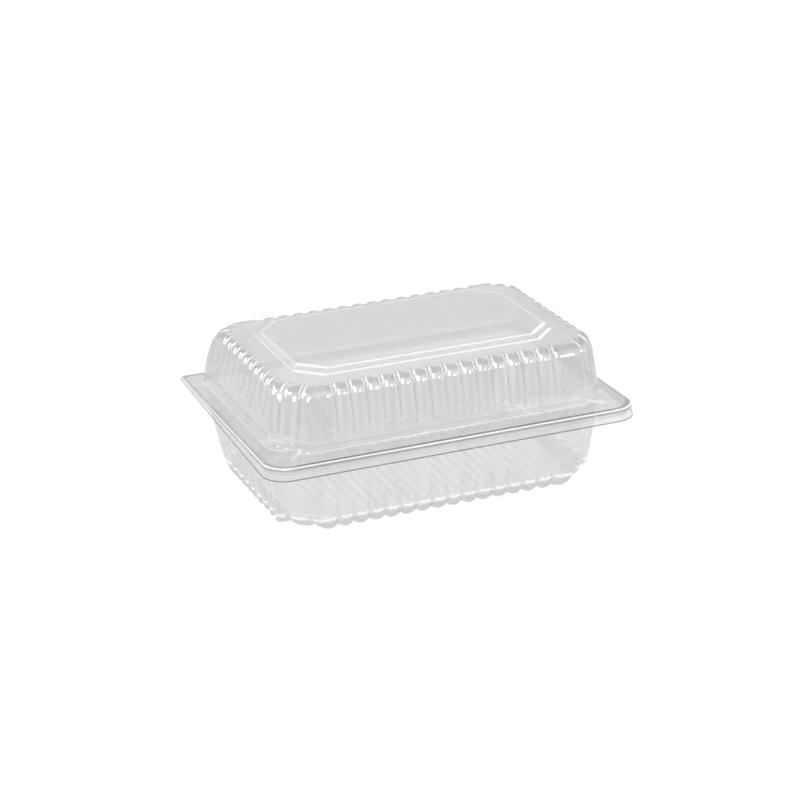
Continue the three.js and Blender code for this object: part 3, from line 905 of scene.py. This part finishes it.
def field_places(stations):
    """Where each station of the long sides stands along X on the border of the ribbed field. A rib
    and the gap beside it take a whole number of columns."""
    count = sum(1 for station in stations if station["side"] == "front") - 1
    reach = count * RIB_PITCH / RIB_COLUMNS / 2
    return [mix(-reach, reach, step / count) for step in range(count + 1)]


def rib_height(x, y):
    """The ribs run from front to back, and end in slopes."""
    phase = abs((x / RIB_PITCH + 0.5) % 1.0 - 0.5)
    profile = smooth(*RIB_FLANK, phase)
    return RIB_HEIGHT * profile * smooth(FIELD_DEPTH, FIELD_DEPTH - RIB_END, abs(y))


class MEALBOX_OT_tray(Operator):
    """Make the fluted tray with its ribbed bottom"""

    bl_idname = "mealbox.tray"
    bl_label = "Make Tray"

    def execute(self, context):
        sizes = context.scene.meal_box_sizes
        under = -2 * SHEET - RIM_GAP
        stations = stations_round(TRAY_SIDE_GROOVES, TRAY_SIDE_PITCH)
        rows = fold_rows(stations, under, -LIP_INSET, 0.0, LIP_DEPTH)
        rows.append(row_points(stations, grown(FOOT, LIP_RIM_REACH), under))
        reach = TRAY_FOOT_REACH + TRAY_FOOT_INSET
        for step in range(FOOT_STEPS + 1):
            turn = math.pi / 2 * step / FOOT_STEPS
            shape = grown(FOOT, reach * (1 - math.sin(turn)) - TRAY_FOOT_INSET)
            level = under - TRAY_FOOT_RISE * (1 - math.cos(turn))
            rows.append(row_points(stations, shape, level))
        rows += wall_rows(stations, TRAY_WALL, TRAY_STEPS, TRAY_ROUND)
        for distance, level in FLOOR_EDGE_ROWS:
            rows.append(soften_corners(row_points(stations, grown(FLOOR, distance), level)))
        # The raised bottom's edge gets a painted highlight line
        shades = {len(rows) - back: painted_light for back, painted_light in FLOOR_EDGE_HIGHLIGHTS.items()}
        rows.append(self.border(stations))

        def shade_at(point, normal, flute, row):
            return tray_shade(point, normal, flute)

        bm = bmesh.new()
        grow_rows(bm, rows, stations, shades, {})
        self.add_field(bm, stations)
        piece = finish_shell(bm, "tray_sheet", False, shade_at, tray_cloud, sizes)
        piece.data.materials.append(clear_sheet_material(context.scene.meal_box_looks))
        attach(piece, "tray")
        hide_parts("tray")
        return {"FINISHED"}

    def border(self, stations):
        """The row that the ribbed field is sewn to."""
        places = field_places(stations)
        half = places[-1]
        side_count = sum(1 for station in stations if station["side"] == "right") - 1
        counters = {side: 0 for side in SIDES}
        row = []
        for station in stations:
            side = station["side"]
            index = counters[side]
            counters[side] += 1
            if side == "front":
                x, y = places[index], -FIELD_DEPTH
            elif side == "back":
                x, y = places[-1 - index], FIELD_DEPTH
            elif side in ("right", "left"):
                sign = 1.0 if side == "right" else -1.0
                x = sign * half
                y = sign * mix(-FIELD_DEPTH, FIELD_DEPTH, index / side_count)
            else:
                x = half if side.endswith("right") else -half
                y = -FIELD_DEPTH if side.startswith("front") else FIELD_DEPTH
            row.append(Vector((x, y, RIM_HEIGHT + FLOOR_LEVEL)))
        return row

    def add_field(self, bm, stations):
        """Adds the ribbed field, with a point for each point of its border."""
        places = field_places(stations)
        columns = len(places) - 1
        side_count = sum(1 for station in stations if station["side"] == "right") - 1
        grid = bmesh.ops.create_grid(bm, x_segments=columns, y_segments=side_count, size=1.0)
        for vert in grid["verts"]:
            column = round((vert.co.x + 1) / 2 * columns)
            share = (vert.co.y + 1) / 2
            x, y = places[column], mix(-FIELD_DEPTH, FIELD_DEPTH, share)
            vert.co = Vector((x, y, RIM_HEIGHT + FLOOR_LEVEL + rib_height(x, y))) * MM


class MEALBOX_OT_hinge(Operator):
    """Make the fold of the sheet that joins the two rims at the back"""

    bl_idname = "mealbox.hinge"
    bl_label = "Make Hinge"

    def execute(self, context):
        bm = bmesh.new()
        grid = bmesh.ops.create_grid(bm, x_segments=HINGE_COLUMNS, y_segments=HINGE_ROWS, size=1.0)
        for vert in grid["verts"]:
            height = mix(HINGE_BOTTOM, HINGE_TOP, (vert.co.y + 1) / 2)
            vert.co = Vector((-vert.co.x * HINGE_HALF, HINGE_Y, height)) * MM
        bm.normal_update()
        bmesh.ops.solidify(bm, geom=bm.faces[:], thickness=HINGE_SHEET * MM)
        mesh = bpy.data.meshes.new("hinge_fold")
        bm.to_mesh(mesh)
        bm.free()
        piece = bpy.data.objects.new("hinge_fold", mesh)
        context.scene.collection.objects.link(piece)
        mesh.materials.append(clear_sheet_material(context.scene.meal_box_looks))
        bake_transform(piece, "tray", "lid", (0.0, HINGE_Y * MM, 0.042), (0.0, HINGE_Y * MM, 0.0429))
        return {"FINISHED"}


def soft_box(name, towards, width, height, glow):
    """A softbox that shows only in the gloss. It stands in a direction from the container, which is
    given by an angle round from +X and one up from the floor, and its sizes are angles too."""
    light = bpy.data.lights.new(name, "AREA")
    light.shape = "RECTANGLE"
    light.size = 2 * LIGHT_DISTANCE * math.tan(math.radians(width / 2))
    light.size_y = 2 * LIGHT_DISTANCE * math.tan(math.radians(height / 2))
    light.energy = glow * math.pi * light.size * light.size_y
    lamp = bpy.data.objects.new(name, light)
    round_angle, up_angle = (math.radians(angle) for angle in towards)
    direction = Vector((math.cos(round_angle) * math.cos(up_angle),
                        math.sin(round_angle) * math.cos(up_angle), math.sin(up_angle)))
    lamp.location = direction * LIGHT_DISTANCE + Vector(LIGHT_CENTRE)
    lamp.rotation_euler = direction.to_track_quat("Z", "Y").to_euler()
    lamp.visible_camera = False
    lamp.visible_diffuse = False
    lamp.visible_transmission = False
    bpy.context.scene.collection.objects.link(lamp)


class MEALBOX_OT_stage(Operator):
    """Set the floor, the light and the camera"""

    bl_idname = "mealbox.stage"
    bl_label = "Set Stage"

    def execute(self, context):
        looks = context.scene.meal_box_looks
        bm = bmesh.new()
        bmesh.ops.create_grid(bm, x_segments=1, y_segments=1, size=12.0)
        mesh = bpy.data.meshes.new("floor")
        bm.to_mesh(mesh)
        bm.free()
        floor = bpy.data.objects.new("floor", mesh)
        context.scene.collection.objects.link(floor)
        material = bpy.data.materials.new("pale_floor")
        material.use_nodes = True
        shader = material.node_tree.nodes["Principled BSDF"]
        shader.inputs["Base Color"].default_value = (*looks.floor, 1.0)
        shader.inputs["Roughness"].default_value = 0.9
        shader.inputs["Emission Color"].default_value = (1.0, 1.0, 1.0, 1.0)
        shader.inputs["Emission Strength"].default_value = 0.12
        mesh.materials.append(material)

        world = bpy.data.worlds.new("studio")
        context.scene.world = world
        world.use_nodes = True
        tree = world.node_tree
        rays = tree.nodes.new("ShaderNodeLightPath")
        dim = tree.nodes.new("ShaderNodeMix")
        dim.inputs["A"].default_value = looks.surround
        dim.inputs["B"].default_value = looks.mirrored_surround
        tree.links.new(rays.outputs["Is Glossy Ray"], dim.inputs["Factor"])
        tree.links.new(dim.outputs["Result"], tree.nodes["Background"].inputs["Strength"])
        tree.nodes["Background"].inputs["Color"].default_value = (1.0, 1.0, 1.0, 1.0)
        for name, (towards, width, height, glow) in SOFT_BOXES.items():
            soft_box(name, towards, width, height, glow)

        camera = bpy.data.cameras.new("camera")
        camera.lens = CAMERA_LENS
        camera.sensor_width = 36.0
        camera.clip_start = 0.05
        view = bpy.data.objects.new("camera", camera)
        view.location = Vector(CAMERA_PLACE) * MM
        view.rotation_euler = Euler([math.radians(angle) for angle in CAMERA_TURN], "XYZ")
        context.scene.collection.objects.link(view)
        context.scene.camera = view
        context.scene.view_settings.view_transform = "Standard"
        context.scene.cycles.transparent_max_bounces = 32
        context.scene.cycles.diffuse_bounces = 1
        context.scene.cycles.glossy_bounces = 2
        return {"FINISHED"}


class MEALBOX_PT_parts(Panel):
    """Lists the container's pieces and sizes"""

    bl_label = "Clear Meal Container"
    bl_idname = "MEALBOX_PT_parts"
    bl_space_type = "VIEW_3D"
    bl_region_type = "UI"
    bl_category = "Container"

    def draw(self, context):
        layout = self.layout
        for group in (context.scene.meal_box_sizes, context.scene.meal_box_looks):
            for name in group.bl_rna.properties.keys():
                if name not in {"rna_type", "name"}:
                    layout.prop(group, name)
        for operator in OPERATORS:
            layout.operator(operator.bl_idname)


OPERATORS = (MEALBOX_OT_stage, MEALBOX_OT_tray, MEALBOX_OT_lid, MEALBOX_OT_hinge)
CLASSES = (MealBoxSizes, MealBoxLooks) + OPERATORS + (MEALBOX_PT_parts,)


def register():
    for cls in CLASSES:
        bpy.utils.register_class(cls)
    bpy.types.Scene.meal_box_sizes = PointerProperty(type=MealBoxSizes)
    bpy.types.Scene.meal_box_looks = PointerProperty(type=MealBoxLooks)


def unregister():
    del bpy.types.Scene.meal_box_looks
    del bpy.types.Scene.meal_box_sizes
    for cls in reversed(CLASSES):
        bpy.utils.unregister_class(cls)


def main():
    register()
    bpy.ops.mealbox.stage()
    bpy.ops.mealbox.tray()
    bpy.ops.mealbox.lid()
    bpy.ops.mealbox.hinge()


if __name__ == "__main__":
    main()
